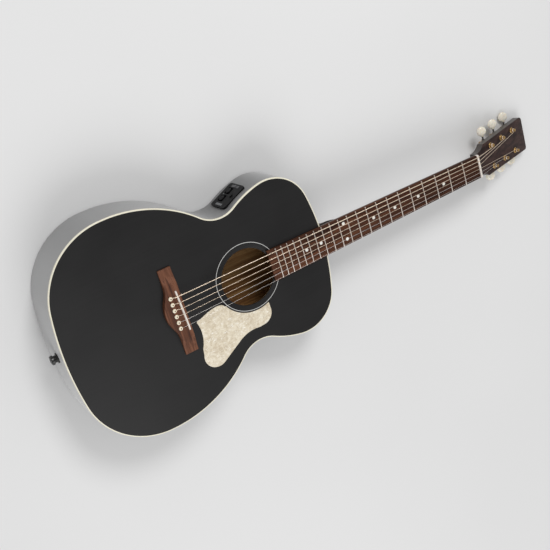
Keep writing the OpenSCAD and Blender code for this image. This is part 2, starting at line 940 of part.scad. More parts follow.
// one string: pin, over the saddle, along the neck, through the nut, to its post
module run(a, b, r) {
    v = b - a;
    l = norm(v);
    translate(a + v * 0.3 * r / l)
    rotate([0, acos(v[2] / l), atan2(v[1], v[0])])
    cylinder(r = r, h = l - 0.6 * r, $fn = 24);
}
module bend(a, r) {
    translate(a)
    sphere(r = 1.15 * r, $fn = 24);
}
function head_pt(x, s, u) = [x, neck_tip_y + s * cos(head_a) + u * sin(head_a),
    face_z - s * sin(head_a) + u * cos(head_a)];
function saddle_y(x) = Y(saddle_d) + x * tan(saddle_a);
module guitar_string(n) {
    k = n - 1;
    r = str_r[k];
    zs = top_z + saddle_z - drop(sad_x[k]) + 1.15 * r + 0.01;
    zn = top_z + nut_z - drop(nut_x[k]) + r;
    p = [[pin_x[k], Y(pin_d) + 3.3, top_z + 3],
        [pin_x[k], Y(pin_d) + 3.3, top_z + bridge_h + 0.3],
        [sad_x[k], saddle_y(sad_x[k]) - 1.6, zs],
        [sad_x[k], saddle_y(sad_x[k]) + 1.6, zs],
        [nut_x[k], Y(0), zn],
        [nut_x[k], Y(-seat - 0.1), zn],
        head_pt(t_side(n) * (post_x - 3.35 - r), post_s + t_place(n) * post_pitch, 4.6)];
    color(n > 2 ? "#b9986a" : "#d2d3d4")
    union() {
        for (i = [0:5])
            run(p[i], p[i + 1], r);
        for (i = [1:5])
            bend(p[i], r);
    }
}
module string_1() { guitar_string(1); }
module string_2() { guitar_string(2); }
module string_3() { guitar_string(3); }
module string_4() { guitar_string(4); }
module string_5() { guitar_string(5); }
module string_6() { guitar_string(6); }
module tuner_1_worm() { tuner_worm(1); }
module tuner_2_worm() { tuner_worm(2); }
module tuner_3_worm() { tuner_worm(3); }
module tuner_4_worm() { tuner_worm(4); }
module tuner_5_worm() { tuner_worm(5); }
module tuner_6_worm() { tuner_worm(6); }
module tuner_1_button() { tuner_button(1); }
module tuner_2_button() { tuner_button(2); }
module tuner_3_button() { tuner_button(3); }
module tuner_4_button() { tuner_button(4); }
module tuner_5_button() { tuner_button(5); }
module tuner_6_button() { tuner_button(6); }
module tuner_1_post() { tuner_post(1); }
module tuner_2_post() { tuner_post(2); }
module tuner_3_post() { tuner_post(3); }
module tuner_4_post() { tuner_post(4); }
module tuner_5_post() { tuner_post(5); }
module tuner_6_post() { tuner_post(6); }

soundboard();
back_plate();
bass_side();
treble_side();
top_binding();
rosette();
linings();
neck_block();
tail_block();
top_braces();
bridge_plate();
back_braces();
pickguard();
bridge();
saddle();
bridge_pins();
neck();
headstock_veneer();
fretboard();
frets();
inlays();
nut();
truss_rod();
neck_bolts();
tuner_plates();
tuner_bushings();
tuner_screws();
endpin_jack();
endpin_nut();
preamp_bezel();
preamp_housing();
preamp_display();
volume_knob();
tone_knob();
push_button();
battery_tray();
string_1();
string_2();
string_3();
string_4();
string_5();
string_6();
tuner_1_worm();
tuner_1_button();
tuner_1_post();
tuner_2_worm();
tuner_2_button();
tuner_2_post();
tuner_3_worm();
tuner_3_button();
tuner_3_post();
tuner_4_worm();
tuner_4_button();
tuner_4_post();
tuner_5_worm();
tuner_5_button();
tuner_5_post();
tuner_6_worm();
tuner_6_button();
tuner_6_post();
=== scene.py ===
import math
import random

import bmesh
import bpy
import numpy as np
from mathutils import Matrix, Vector


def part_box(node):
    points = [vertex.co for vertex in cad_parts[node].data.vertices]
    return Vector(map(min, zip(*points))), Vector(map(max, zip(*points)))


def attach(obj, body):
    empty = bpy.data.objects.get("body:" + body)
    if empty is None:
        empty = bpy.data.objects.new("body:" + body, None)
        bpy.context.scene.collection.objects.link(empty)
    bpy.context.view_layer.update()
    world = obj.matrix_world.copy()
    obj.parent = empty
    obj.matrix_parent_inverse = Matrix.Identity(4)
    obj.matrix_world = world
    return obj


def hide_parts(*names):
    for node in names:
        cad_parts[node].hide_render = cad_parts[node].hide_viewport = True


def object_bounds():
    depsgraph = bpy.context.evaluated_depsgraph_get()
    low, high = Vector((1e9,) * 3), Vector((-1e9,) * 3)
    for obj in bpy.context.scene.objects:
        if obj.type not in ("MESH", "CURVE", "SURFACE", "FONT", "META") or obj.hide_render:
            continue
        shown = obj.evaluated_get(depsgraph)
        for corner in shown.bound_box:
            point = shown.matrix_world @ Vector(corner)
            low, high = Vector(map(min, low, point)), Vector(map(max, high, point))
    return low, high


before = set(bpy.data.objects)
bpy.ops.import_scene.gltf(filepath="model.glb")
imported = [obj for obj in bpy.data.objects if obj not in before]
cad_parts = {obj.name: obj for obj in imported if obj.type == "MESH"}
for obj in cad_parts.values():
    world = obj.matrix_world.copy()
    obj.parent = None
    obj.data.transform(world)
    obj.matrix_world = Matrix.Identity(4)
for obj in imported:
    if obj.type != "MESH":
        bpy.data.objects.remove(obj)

CAD_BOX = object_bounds()
random.seed(7)
MM = 0.001

# ---------------------------------------------------------------- places, from the CAD model
lo_n, hi_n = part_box("nut")
NUT_Y = lo_n[1]                                    # nut face toward the frets
SEAT = hi_n[1] - lo_n[1]                           # nut thickness
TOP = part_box("soundboard")[1][2]                   # soundboard face
TAIL_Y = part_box("back_plate")[0][1]                # tail edge of the back
HEAD_A = math.radians(18)                          # headstock tilt
FACE_Z = TOP - 0.2 * MM                            # headstock face where it meets the nut
HEAD_Y = NUT_Y + SEAT
HEAD_T, VENEER = 15 * MM, 2.0 * MM                 # headstock thickness, and its face veneer

# ---------------------------------------------------------------- sizes of the guitar, mm
# a distance with _D is measured from the nut toward the tail
SCALE_LEN = 630.9
TAIL_D, JOIN_D = 835.2, 347.7                      # tail edge, and the body end at the neck
TAPER = (99.6 - 79.8) / 487.5                      # slope of the back
SIDE, BIND = 2.0, 3.4                              # side thickness and binding height
BACK_T = 3.0                                       # back thickness
HOLE_R, HOLE_D = 49.0, 503                         # soundhole radius and centre
FRONT_D, REAR_D, BRIDGE_H = 625.6, 648.8, 8.4      # bridge edges and height
SADDLE_D, SADDLE_Z = 631.5, 12.0                   # saddle line, and its crest above the top
SADDLE_A = math.radians(2.08)                      # slant of the saddle
PIN_D, PIN_STEP = 644.8, 10.7                      # row of bridge pins
STRING_STEP, NUT_STEP = 10.6, 7.2                  # string spacing at saddle and nut
NUT_W, END_W, BOARD_L = 43.7, 55.6, 459            # fingerboard widths and length
BOARD_T, BOARD_R = 5.9, 406                        # fingerboard thickness and crown radius
FRET_H = 1.05
NUT_Z = BOARD_T + FRET_H + 0.45                    # floor of the string slots in the nut
R_STR = [0.165, 0.216, 0.33, 0.445, 0.57, 0.71]    # string radii, first to sixth
WRAPS = (3.5, 3.0, 2.6, 2.4, 2.2, 2.0)             # turns of string on each post
POST_S, PITCH, POST_X = 50.4, 39.8, 20.6           # tuner posts, along and across the headstock
WORM_S, WORM_Z = 11.0, -20.8                       # worm axis beside and behind its post
BUTTON_C, BUTTON_TURN = 44.8, 30                   # button centre from the middle, and its turn
PRE = (Matrix.Translation((-128.2 * MM, NUT_Y - 476.0 * MM, TOP - 43.5 * MM))
       @ Matrix.Rotation(math.radians(113.6), 4, "Z"))       # frame of the preamp face
PRE_CUT = ((-24.7, -22, -23.7), (24.7, 22, 23.7))            # hole for it in the side
FLOOR_SLOPE = 0.0311                               # tail edge and last tuner buttons both touch


def Y(d):
    """y of a point d mm from the nut toward the tail"""
    return NUT_Y - d * MM


# ---------------------------------------------------------------- node materials
class Mat:
    """One Principled material and the nodes that feed it, in object coordinates."""

    def __init__(self, name, **sockets):
        self.m = bpy.data.materials.new(name)
        self.m.use_nodes = True
        self.t = self.m.node_tree
        self.b = self.t.nodes["Principled BSDF"]
        for k, v in sockets.items():
            self.b.inputs[k.replace("_", " ")].default_value = v
        self.co = self.add("ShaderNodeTexCoord").outputs["Object"]

    def add(self, kind, ins=None, **props):
        n = self.t.nodes.new(kind)
        for k, v in props.items():
            setattr(n, k, v)
        for k, v in (ins or {}).items():
            if isinstance(v, bpy.types.NodeSocket):
                self.t.links.new(v, n.inputs[k])
            else:
                n.inputs[k].default_value = v
        return n

    def scaled(self, sx, sy, sz, rot=(0, 0, 0)):
        return self.add("ShaderNodeMapping", {"Vector": self.co, "Scale": (sx, sy, sz), "Rotation": rot}).outputs[0]

    def noise(self, vec, scale=1.0, detail=4.0, rough=0.55, dist=0.0):
        return self.add("ShaderNodeTexNoise", {"Vector": vec, "Scale": scale, "Detail": detail,
                                              "Roughness": rough, "Distortion": dist}).outputs["Fac"]

    def ramp(self, fac, stops):
        r = self.add("ShaderNodeValToRGB", {"Fac": fac})
        e = r.color_ramp.elements
        while len(e) < len(stops):
            e.new(0.5)
        for i, (p, c) in enumerate(stops):
            e[i].position = p
            e[i].color = (*c, 1) if len(c) == 3 else c
        return r.outputs["Color"]

    def mix(self, fac, a, b):
        n = self.add("ShaderNodeMix", data_type="RGBA")
        for k, v in ((0, fac), (6, a), (7, b)):
            if isinstance(v, bpy.types.NodeSocket):
                self.t.links.new(v, n.inputs[k])
            else:
                n.inputs[k].default_value = v if k == 0 else (*v, 1)
        return n.outputs[2]

    def rng(self, fac, a, b, c, d):
        return self.add("ShaderNodeMapRange", {"Value": fac, "From Min": a, "From Max": b,
                                               "To Min": c, "To Max": d}).outputs[0]

    def math(self, op, a, b=0.0):
        return self.add("ShaderNodeMath", {0: a, 1: b}, operation=op).outputs[0]

    def set(self, **links):
        for k, v in links.items():
            self.t.links.new(v, self.b.inputs[k.replace("_", " ")])
        return self

    def bump(self, height, dist, strength=1.0):
        n = self.add("ShaderNodeBump", {"Height": height, "Distance": dist, "Strength": strength})
        self.t.links.new(n.outputs[0], self.b.inputs["Normal"])
        return self


def lacquer(name, dark, light, rough, along, streak=0.25, sheen=0.0, spec=0.5):
    """Thin dark finish over wood: grain lines telegraph through as faint streaks and ripples."""
    m = Mat(name, Specular_IOR_Level=spec, Sheen_Weight=sheen, Sheen_Roughness=0.42)
    s = [900.0] * 3
    s[along] = 14.0
    grain = m.noise(m.scaled(*s), 1.0, 3.0, 0.6)
    s2 = [220.0] * 3
    s2[along] = 5.0
    bands = m.noise(m.scaled(*s2), 1.0, 2.0, 0.5)
    cloud = m.noise(m.co, 9.0, 2.0, 0.5)
    f = m.math("ADD", m.math("MULTIPLY", grain, 0.55), m.math("MULTIPLY", bands, 0.45))
    f2 = m.math("ADD", m.math("MULTIPLY", f, streak * 2), m.math("MULTIPLY", cloud, 1 - streak))
    col = m.ramp(f2, [(0.3, dark), (0.75, light)])
    worn = m.math("ADD", m.math("MULTIPLY", grain, 0.5), m.math("MULTIPLY", cloud, 0.5))
    m.set(Base_Color=col, Roughness=m.rng(worn, 0.3, 0.7, rough - 0.05, rough + 0.05))
    m.bump(m.math("ADD", m.math("MULTIPLY", grain, 0.6), m.math("MULTIPLY", bands, 0.4)), 0.00006, 0.6)
    return m.m


def striped_wood(name, along, dark, mid, light, rough=0.5, width=1.0, pores=0.5, spec=0.4, shade_toward_nut=0.0):
    """Open-grained wood: growth stripes along one axis, fine fibre, and short dark pores, with optional painted shade
    darkening it toward the nut.
    """
    m = Mat(name, Specular_IOR_Level=spec)
    warp_s = [6.0] * 3
    warp_s[along] = 2.0
    warp = m.noise(m.scaled(*warp_s), 1.0, 2.0, 0.5)
    s = [150 / width] * 3
    s[along] = 4.5
    v = m.scaled(*s)
    shift = m.add("ShaderNodeVectorMath", {0: v, 1: m.add("ShaderNodeCombineXYZ", {
        k: m.math("MULTIPLY", warp, 3.2) for k in ("X", "Y", "Z")}).outputs[0]}, operation="ADD").outputs[0]
    stripes = m.noise(shift, 1.0, 3.0, 0.55, 0.35)
    f_s = [1500.0] * 3
    f_s[along] = 40.0
    fibre = m.noise(m.scaled(*f_s), 1.0, 2.0, 0.6)
    p_s = [2600.0] * 3
    p_s[along] = 130.0
    pore = m.noise(m.scaled(*p_s), 1.0, 1.0, 0.5)
    col = m.ramp(stripes, [(0.33, dark), (0.48, mid), (0.60, light), (0.72, mid)])
    col = m.mix(m.rng(fibre, 0.35, 0.75, 0.0, 0.35), col, dark)
    pm = m.rng(pore, 0.60, 0.70, 0.0, pores)
    col = m.mix(pm, col, tuple(c * 0.35 for c in dark))
    if shade_toward_nut:                                       # painted shade: the wood is darkened toward the nut where the light falls off
        y = m.add("ShaderNodeSeparateXYZ", {0: m.co}).outputs["Y"]
        col = m.mix(m.rng(y, NUT_Y - 0.40, NUT_Y, 0.0, shade_toward_nut), col, tuple(c * 0.8 for c in dark))
    m.set(Base_Color=col, Roughness=m.rng(fibre, 0.3, 0.7, rough - 0.08, rough + 0.08))
    m.bump(m.math("SUBTRACT", fibre, m.math("MULTIPLY", pm, 1.2)), 0.00008, 0.7)
    return m.m


def plastic(name, col, rough=0.35, var=0.12, grain=1800.0, bump=0.00003, sub=0.0, coat=0.0, spec=0.5):
    """Moulded or polished plastic and bone: a faint cloud of tone and a fine skin."""
    m = Mat(name, Specular_IOR_Level=spec, Coat_Weight=coat, Coat_Roughness=0.15,
            Subsurface_Weight=sub, Subsurface_Radius=(0.004, 0.003, 0.002), Subsurface_Scale=0.4)
    cloud = m.noise(m.co, 60.0, 3.0, 0.5)
    fine = m.noise(m.co, grain, 2.0, 0.6)
    low = tuple(x * (1 - var) for x in col)
    high = tuple(min(1, x * (1 + var)) for x in col)
    c = m.ramp(cloud, [(0.3, low), (0.7, high)])
    m.set(Base_Color=c, Roughness=m.rng(fine, 0.3, 0.7, rough - 0.04, rough + 0.04))
    m.bump(fine, bump, 0.5)
    return m.m


def metal(name, col, rough=0.3, var=0.15, brushed=None, tarnish=None):
    """Metal with soft tonal clouds, brushed along one axis or tarnished in spots."""
    m = Mat(name, Metallic=1.0)
    cloud = m.noise(m.co, 160.0, 4.0, 0.6)
    s = [2200.0] * 3
    if brushed is not None:
        s[brushed] = 60.0
    fine = m.noise(m.scaled(*s), 1.0, 2.0, 0.6)
    c = m.ramp(cloud, [(0.3, tuple(x * (1 - var) for x in col)), (0.7, col)])
    if tarnish:
        c = m.mix(m.rng(m.noise(m.co, 340.0, 4.0, 0.65), 0.52, 0.72, 0.0, 0.8), c, tarnish)
    m.set(Base_Color=c, Roughness=m.rng(fine, 0.3, 0.7, rough - 0.07, rough + 0.09))
    m.bump(fine, 0.00002, 0.4)
    return m.m


def pearl(name):
    """Cream pearloid: fine folded flakes of slightly different tone, short painted glints of reflected light, a gloss
    skin.
    """
    m = Mat(name, Roughness=0.28, Specular_IOR_Level=0.5, Coat_Weight=0.35, Coat_Roughness=0.12)
    warp = m.add("ShaderNodeTexNoise", {"Vector": m.co, "Scale": 120.0, "Detail": 4.0}).outputs["Color"]
    v = m.add("ShaderNodeVectorMath", {0: m.co, 1: m.add("ShaderNodeVectorMath", {0: warp, 1: (0.012,) * 3},
              operation="MULTIPLY").outputs[0]}, operation="ADD").outputs[0]
    tones = []
    for sc, sx in ((210.0, 1.0), (420.0, 2.2)):
        vv = m.add("ShaderNodeMapping", {"Vector": v, "Scale": (sx, 1.0, 1.0), "Rotation": (0, 0, 0.7)}).outputs[0]
        cell = m.add("ShaderNodeTexVoronoi", {"Vector": vv, "Scale": sc}, feature="SMOOTH_F1")
        tones.append(m.add("ShaderNodeSeparateColor", {0: cell.outputs["Color"]}).outputs[0])
    swirl = m.noise(v, 70.0, 5.0, 0.65, 1.0)
    f = m.math("ADD", m.math("ADD", m.math("MULTIPLY", tones[0], 0.25), m.math("MULTIPLY", tones[1], 0.25)),
               m.math("MULTIPLY", swirl, 0.5))
    col = m.ramp(f, [(0.28, (0.54, 0.45, 0.32)), (0.48, (0.68, 0.60, 0.46)), (0.62, (0.77, 0.70, 0.56)),
                     (0.78, (0.90, 0.86, 0.76))])
    # painted glints: short near-white streaks of reflection mixed into the colour
    for rot, sc in ((0.5, 330.0), (-0.8, 260.0)):
        vv = m.add("ShaderNodeMapping", {"Vector": v, "Scale": (sc, sc * 0.28, sc),
                                         "Rotation": (0, 0, rot)}).outputs[0]
        painted_glint = m.noise(vv, 1.0, 2.0, 0.5, 1.5)
        col = m.mix(m.rng(painted_glint, 0.62, 0.70, 0.0, 0.6), col, (0.93, 0.92, 0.87))
    m.set(Base_Color=col)
    m.bump(m.noise(m.co, 300.0, 2.0, 0.5), 0.00003, 0.5)
    return m.m


def wound(name, pitch, core, dark):
    """String wrapped in fine wire: rings along the string at the winding pitch."""
    m = Mat(name, Metallic=1.0)
    sep = m.add("ShaderNodeSeparateXYZ", {0: m.co})
    turns = m.math("MULTIPLY", sep.outputs["Y"], 2 * math.pi / pitch)
    ring = m.math("ABSOLUTE", m.math("SINE", m.math("MULTIPLY", turns, 0.5)))
    dirt = m.noise(m.co, 120.0, 3.0, 0.6)
    col = m.mix(m.rng(ring, 0.0, 0.45, 0.7, 0.0), core, dark)
    col = m.mix(m.rng(dirt, 0.45, 0.75, 0.0, 0.35), col, dark)
    m.set(Base_Color=col, Roughness=m.rng(dirt, 0.3, 0.7, 0.24, 0.38))
    m.bump(ring, 0.0001, 0.8)
    return m.m


M = {}
M["top"] = lacquer("satin_black_top", (0.0036, 0.0034, 0.0036), (0.0085, 0.0081, 0.0084), 0.40, 1, spec=0.30)
M["side"] = lacquer("satin_grey_side", (0.034, 0.034, 0.035), (0.060, 0.060, 0.062), 0.36, 1, 0.3, sheen=0.85)
M["back"] = lacquer("satin_grey_back", (0.048, 0.048, 0.049), (0.085, 0.084, 0.085), 0.36, 1, 0.45, sheen=0.5)
M["neck"] = lacquer("satin_dark_neck", (0.020, 0.015, 0.013), (0.052, 0.041, 0.036), 0.36, 1, 0.5, sheen=0.1)
M["bridge"] = striped_wood("rosewood_bridge", 0, (0.044, 0.014, 0.007), (0.112, 0.040, 0.019),
                           (0.20, 0.080, 0.042), 0.55, 1.1, spec=0.25)
# the fingerboard carries painted shade that darkens it toward the nut
M["board"] = striped_wood("rosewood_board", 1, (0.024, 0.008, 0.004), (0.070, 0.024, 0.011),
                          (0.14, 0.052, 0.024), 0.58, 0.9, spec=0.16, shade_toward_nut=0.6)
M["veneer"] = striped_wood("dark_head_face", 1, (0.013, 0.006, 0.005), (0.032, 0.016, 0.014),
                           (0.052, 0.027, 0.023), 0.48, 1.2, 0.3, spec=0.2)
M["mahogany"] = striped_wood("inner_mahogany", 1, (0.15, 0.065, 0.022), (0.29, 0.155, 0.055),
                             (0.42, 0.25, 0.10), 0.6, 1.6, 0.4, spec=0.2)
# painted shade: the braces get spruce darkened far below bare spruce, standing in for the shade inside the body
M["shaded_spruce"] = striped_wood("brace_spruce_painted_shade", 0, (0.15, 0.075, 0.028), (0.23, 0.13, 0.052),
                           (0.30, 0.18, 0.08), 0.65, 0.7, 0.15)
M["spruce_y"] = striped_wood("bare_spruce_top", 1, (0.42, 0.27, 0.13), (0.56, 0.40, 0.22),
                             (0.66, 0.50, 0.30), 0.65, 0.7, 0.15)
M["cream"] = plastic("cream_binding", (0.78, 0.74, 0.60), 0.32, 0.05, 1200, sub=0.05)
M["ring"] = plastic("pale_ring", (0.50, 0.50, 0.485), 0.4, 0.06)
M["pearl"] = pearl("pearl_guard")
M["bone"] = plastic("bone_white", (0.72, 0.66, 0.60), 0.34, 0.05, 900, sub=0.08)
M["pin"] = plastic("cream_pin", (0.82, 0.74, 0.58), 0.22, 0.06, 900, sub=0.08, coat=0.3)
M["button"] = plastic("cream_button", (0.76, 0.71, 0.60), 0.22, 0.10, 500, sub=0.3, coat=0.4)
M["dot_dark"] = plastic("dark_dot", (0.10, 0.06, 0.035), 0.3, 0.2)
M["inlay"] = plastic("white_dot", (0.82, 0.81, 0.76), 0.25, 0.10, 400, coat=0.3)
M["fret"] = metal("nickel_silver", (0.70, 0.63, 0.57), 0.30, 0.10, 0)
M["steel"] = metal("plain_steel", (0.55, 0.55, 0.56), 0.32, 0.2)
M["string"] = metal("bright_steel", (0.92, 0.88, 0.84), 0.42, 0.06, 1)
M["wound"] = [wound("bronze_wound_%d" % i, p, (0.95, 0.80, 0.64), (0.42, 0.28, 0.17))
              for i, p in enumerate((0.00034, 0.0004, 0.0005, 0.0006))]
M["brass"] = metal("antique_gold", (0.55, 0.36, 0.15), 0.27, 0.35, None, (0.10, 0.055, 0.02))
M["shaft"] = metal("dark_shaft", (0.16, 0.15, 0.14), 0.34, 0.3)
M["jack"] = plastic("black_endpin", (0.010, 0.010, 0.010), 0.30, 0.2, 700, coat=0.2)
M["bezel"] = plastic("black_bezel", (0.0055, 0.0055, 0.006), 0.5, 0.15, 2600, 0.00008, spec=0.14)
M["inner_black"] = plastic("black_case", (0.003, 0.003, 0.003), 0.7, 0.15, 1500, spec=0.1)
M["knob"] = plastic("black_knob", (0.003, 0.003, 0.0035), 0.5, 0.2, 2200, 0.00006, spec=0.15)
M["tray"] = plastic("grey_tray", (0.060, 0.060, 0.064), 0.40, 0.15, 2200)
M["window"] = plastic("smoked_window", (0.055, 0.06, 0.065), 0.12, 0.2, 300, coat=0.6)


# ---------------------------------------------------------------- mesh helpers
def put(name, verts, faces, mat, body="body", slot=None, replaces=(), sharp=40):
    """Makes one visible piece; edges sharper than `sharp` degrees stay hard."""
    me = bpy.data.meshes.new(name)
    me.from_pydata([tuple(map(float, v)) for v in verts], [], [tuple(map(int, f)) for f in faces])
    me.validate()
    bm = bmesh.new()
    bm.from_mesh(me)
    bmesh.ops.remove_doubles(bm, verts=bm.verts, dist=1e-7)
    bmesh.ops.recalc_face_normals(bm, faces=bm.faces)
    for f in bm.faces:
        f.smooth = True
    lim = math.radians(sharp)
    for e in bm.edges:
        if len(e.link_faces) == 2 and e.calc_face_angle(0) > lim:
            e.smooth = False
    bm.to_mesh(me)
    bm.free()
    o = bpy.data.objects.new(name, me)
    bpy.context.collection.objects.link(o)
    me.materials.append(mat)
    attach(o, body)
    if replaces:
        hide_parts(*replaces)
    return o


def loft(loops, cap=(True, True)):
    """Quads between successive rings of points; the ends are closed with one face each."""
    n = len(loops[0])
    v = [p for lp in loops for p in lp]
    f = []
    for i in range(len(loops) - 1):
        for j in range(n):
            k = (j + 1) % n
            f.append((i * n + j, i * n + k, (i + 1) * n + k, (i + 1) * n + j))
    if cap[0]:
        f.append(tuple(range(n - 1, -1, -1)))
    if cap[1]:
        b = (len(loops) - 1) * n
        f.append(tuple(range(b, b + n)))
    return v, f


def join(*parts):
    """Several meshes as one."""
    v, f = [], []
    for pv, pf in parts:
        o = len(v)
        v += list(pv)
        f += [tuple(i + o for i in q) for q in pf]
    return v, f


def moved(part, mtx):
    return [tuple(mtx @ Vector(p)) for p in part[0]], part[1]


def ring_of(r, z, n):
    return [(r * math.cos(2 * math.pi * i / n), r * math.sin(2 * math.pi * i / n), z) for i in range(n)]


def turned(profile, n=48, close=False):
    """Revolves (r, z) points, in mm, round z. A closed profile makes a ring."""
    loops = [ring_of(r * MM, z * MM, n) for r, z in profile]
    if close:
        return loft(loops + [loops[0]], cap=(False, False))
    return loft(loops)


def rounded(pts, r, n=5):
    """Rounds the inside corners of an (r, z) profile by r mm."""
    out = [pts[0]]
    for i in range(1, len(pts) - 1):
        p, a, b = (np.array(q, float) for q in (pts[i], pts[i - 1], pts[i + 1]))
        da, db = a - p, b - p
        la, lb = np.linalg.norm(da), np.linalg.norm(db)
        c = min(r, la * 0.45, lb * 0.45)
        s, e = p + da / la * c, p + db / lb * c
        for k in range(n + 1):
            t = k / n
            out.append(tuple((1 - t) ** 2 * s + 2 * t * (1 - t) * p + t * t * e))
    out.append(pts[-1])
    return out


def inset(plan, d):
    """Moves every point of a counter-clockwise plan inward by d along its normal."""
    p = np.array(plan, float)
    t = np.roll(p, -1, 0) - np.roll(p, 1, 0)
    t /= np.linalg.norm(t, axis=1)[:, None] + 1e-12
    return p + np.c_[-t[:, 1], t[:, 0]] * d


def slab(plan, z0, z1, r_top=0.0, r_bot=0.0, n=4):
    """Extrudes a plan (metres) with rounded upper and lower edges."""
    quarter = [math.pi / 2 * k / n for k in range(n + 1)]
    loops = []
    if r_bot:
        loops += [[(x, y, z0 + r_bot * (1 - math.cos(a))) for x, y in inset(plan, r_bot * (1 - math.sin(a)))]
                  for a in quarter]
    else:
        loops.append([(x, y, z0) for x, y in plan])
    if r_top:
        loops += [[(x, y, z1 - r_top * (1 - math.sin(a))) for x, y in inset(plan, r_top * (1 - math.cos(a)))]
                  for a in quarter]
    else:
        loops.append([(x, y, z1) for x, y in plan])
    return loft(loops)


def tube(path, r, n=16):
    """Round bar of radius r, in metres, along a path."""
    P = [Vector(p) for p in path]
    loops = []
    up = Vector((0.13, 0.21, 0.97))
    for i, p in enumerate(P):
        d = (P[min(i + 1, len(P) - 1)] - P[max(i - 1, 0)]).normalized()
        u = (up - d * up.dot(d)).normalized()
        w = d.cross(u)
        up = u
        loops.append([tuple(p + (u * math.cos(2 * math.pi * k / n) + w * math.sin(2 * math.pi * k / n)) * r)
                      for k in range(n)])
    return loft(loops)


def arc(cx, cy, r, a0, a1, n):
    """Points on a circular arc from a0 to a1 degrees."""
    turns = [math.radians(a0 + (a1 - a0) * i / n) for i in range(n + 1)]
    return [(cx + r * math.cos(a), cy + r * math.sin(a)) for a in turns]


# ---------------------------------------------------------------- body outline
# tail to neck: radius, sweep in degrees, and 1 for an arc that bulges outward or -1 for the waist
ARCS = [(535, 8.9, 1), (124.7, 77.9, 1), (216.4, 46.9, 1), (50.9, 73.6, -1), (173.9, 18.6, 1), (68.2, 88.2, 1)]


def half_outline(o):
    """Right half of the body edge from tail to neck join, inset by o mm, in mm from the nut."""
    x, y, h = 0.0, -TAIL_D + o, 0.0
    pts = []
    for r, a, s in ARCS:
        r2, a = r - s * o, math.radians(a)
        n = max(6, int(math.degrees(a) / 1.6))
        for i in range(n):
            g = h + s * a * i / n
            pts.append((x + s * r2 * (math.sin(g) - math.sin(h)), y - s * r2 * (math.cos(g) - math.cos(h))))
        g = h + s * a
        x, y, h = x + s * r2 * (math.sin(g) - math.sin(h)), y - s * r2 * (math.cos(g) - math.cos(h)), g
    re = x / math.sin(h)
    for i in range(13):
        g = h + (math.pi - h) * i / 12
        pts.append((x + re * (math.sin(g) - math.sin(h)), y - re * (math.cos(g) - math.cos(h))))
    return pts


def edge(o):
    """Whole body edge as points in metres, counter-clockwise, inset by o mm, no wider than the CAD."""
    h = [(min(x, CAD_BOX[1][0] / MM), y) for x, y in half_outline(o)]
    full = h + [(-x, y) for x, y in h[-2:0:-1]]
    return [(x * MM, NUT_Y + y * MM) for x, y in full]


def back_z(y, up=0.0):
    """Height of the back's lower face at y, plus some millimetres."""
    return (y - TAIL_Y) * TAPER + up * MM


HOLE_Y = Y(HOLE_D)


def plate_with_hole(o_out, r_hole, z0, z1, r_edge=0.3, rings=7):
    """Flat plate that follows the body edge, with the soundhole through it."""
    out = edge(o_out)
    n = len(out)
    ang = [math.atan2(y - HOLE_Y, x) for x, y in out]

    def hole(r):
        return [(r * MM * math.cos(a), HOLE_Y + r * MM * math.sin(a)) for a in ang]

    inner = hole(r_hole + r_edge)
    loops = [[(x, y, z0) for x, y in hole(r_hole)], [(x, y, z1 - r_edge * MM) for x, y in hole(r_hole)],
             [(x, y, z1 - 0.3 * r_edge * MM) for x, y in hole(r_hole + 0.3 * r_edge)],
             [(x, y, z1) for x, y in inner]]
    for k in range(1, rings + 1):
        t = k / rings
        loops.append([(inner[i][0] * (1 - t) + out[i][0] * t, inner[i][1] * (1 - t) + out[i][1] * t, z1)
                      for i in range(n)])
    loops.append([(x, y, z0) for x, y in out])
    loops.append(loops[0])
    return loft(loops, cap=(False, False))


put("top_face", *plate_with_hole(SIDE, HOLE_R, TOP - 2.2 * MM, TOP), M["top"], slot="black_finish",
    replaces=["soundboard"])
put("top_underside", *plate_with_hole(SIDE, 49.3, TOP - 3.0 * MM, TOP - 2.2 * MM, 0.1), M["spruce_y"],
    slot="inner_wood")

# binding: upright strip with a rounded outer shoulder
shoulder = [(1.0 - math.cos(a), -1.0 + math.sin(a)) for a in np.linspace(0.2, math.pi / 2, 6)]
prof = [(0, -BIND), (0, -1.0)] + shoulder + [(SIDE, 0.0), (SIDE, -BIND)]
loops = [[(x, y, TOP + z * MM) for x, y in edge(o)] for o, z in prof]
put("edge_binding", *loft(loops + [loops[0]], cap=(False, False)), M["cream"], slot="cream_binding",
    replaces=["top_binding"])


def side_top(y):
    return TOP - BIND * MM


def side_foot(y):
    return back_z(y, BACK_T)


def side_shell(o0, o1, name, mat, slot, replaces=()):
    """One skin of the bent sides, between the insets o0 and o1, from the back to the binding."""
    def rungs(o, start, end):
        return [[(x, y, start(y) * (1 - t) + end(y) * t) for x, y in edge(o)] for t in np.linspace(0, 1, 7)]

    lps = rungs(o0, side_top, side_foot) + rungs(o1, side_foot, side_top)
    return put(name, *loft(lps + [lps[0]], cap=(False, False)), mat, slot=slot, replaces=replaces)


